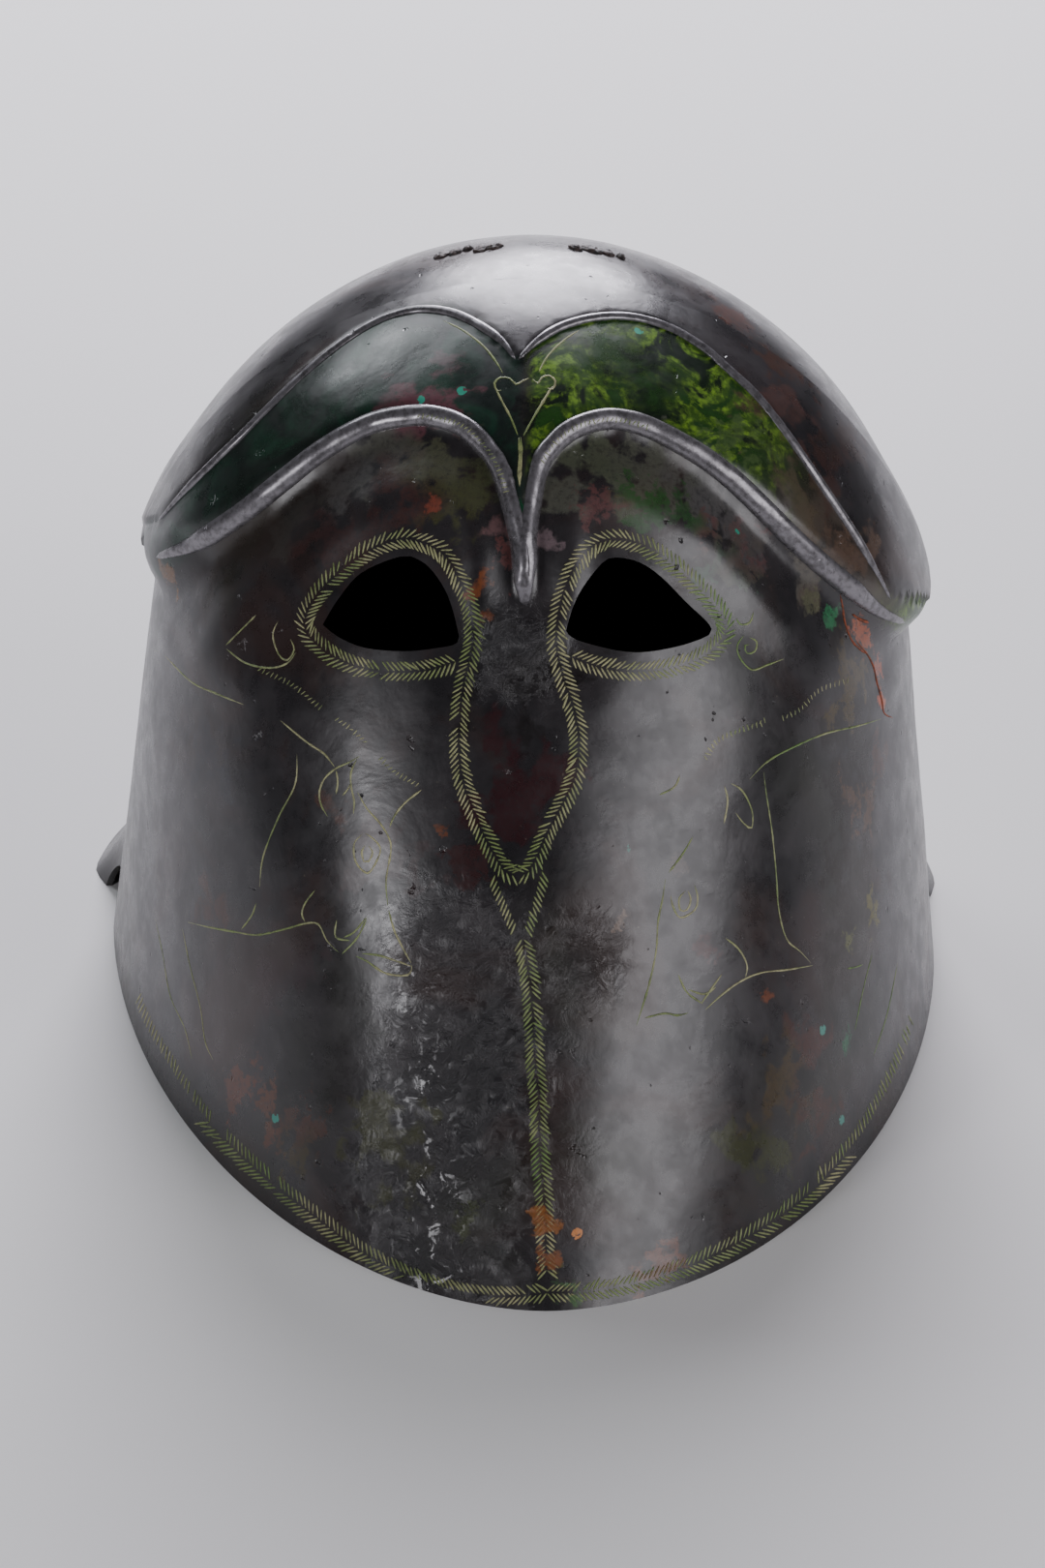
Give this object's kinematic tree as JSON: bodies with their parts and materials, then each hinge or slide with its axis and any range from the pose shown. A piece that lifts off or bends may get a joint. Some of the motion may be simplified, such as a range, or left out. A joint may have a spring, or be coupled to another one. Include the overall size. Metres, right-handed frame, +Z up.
{
  "type": "corinthian helmet",
  "caption": "Closed bronze helmet with a face mask, almond eye holes, arched brow ribs and a flared neck guard, resting on its rim.",
  "frame": {"origin": "middle of the box of the helmet, on the plane that its rim rests on", "axes": "+Z up to the crown, +Y from the face mask to the neck guard, which is the longest extent, +X to the right as seen from in front of the mask"},
  "size_m": [0.2214, 0.285, 0.193],
  "materials": {
    "bronze": "old bronze, near-black brown patina with green patches, satin"
  },
  "bodies": {
    "root": {"helmet_shell": "bronze"}
  },
  "joints": []
}
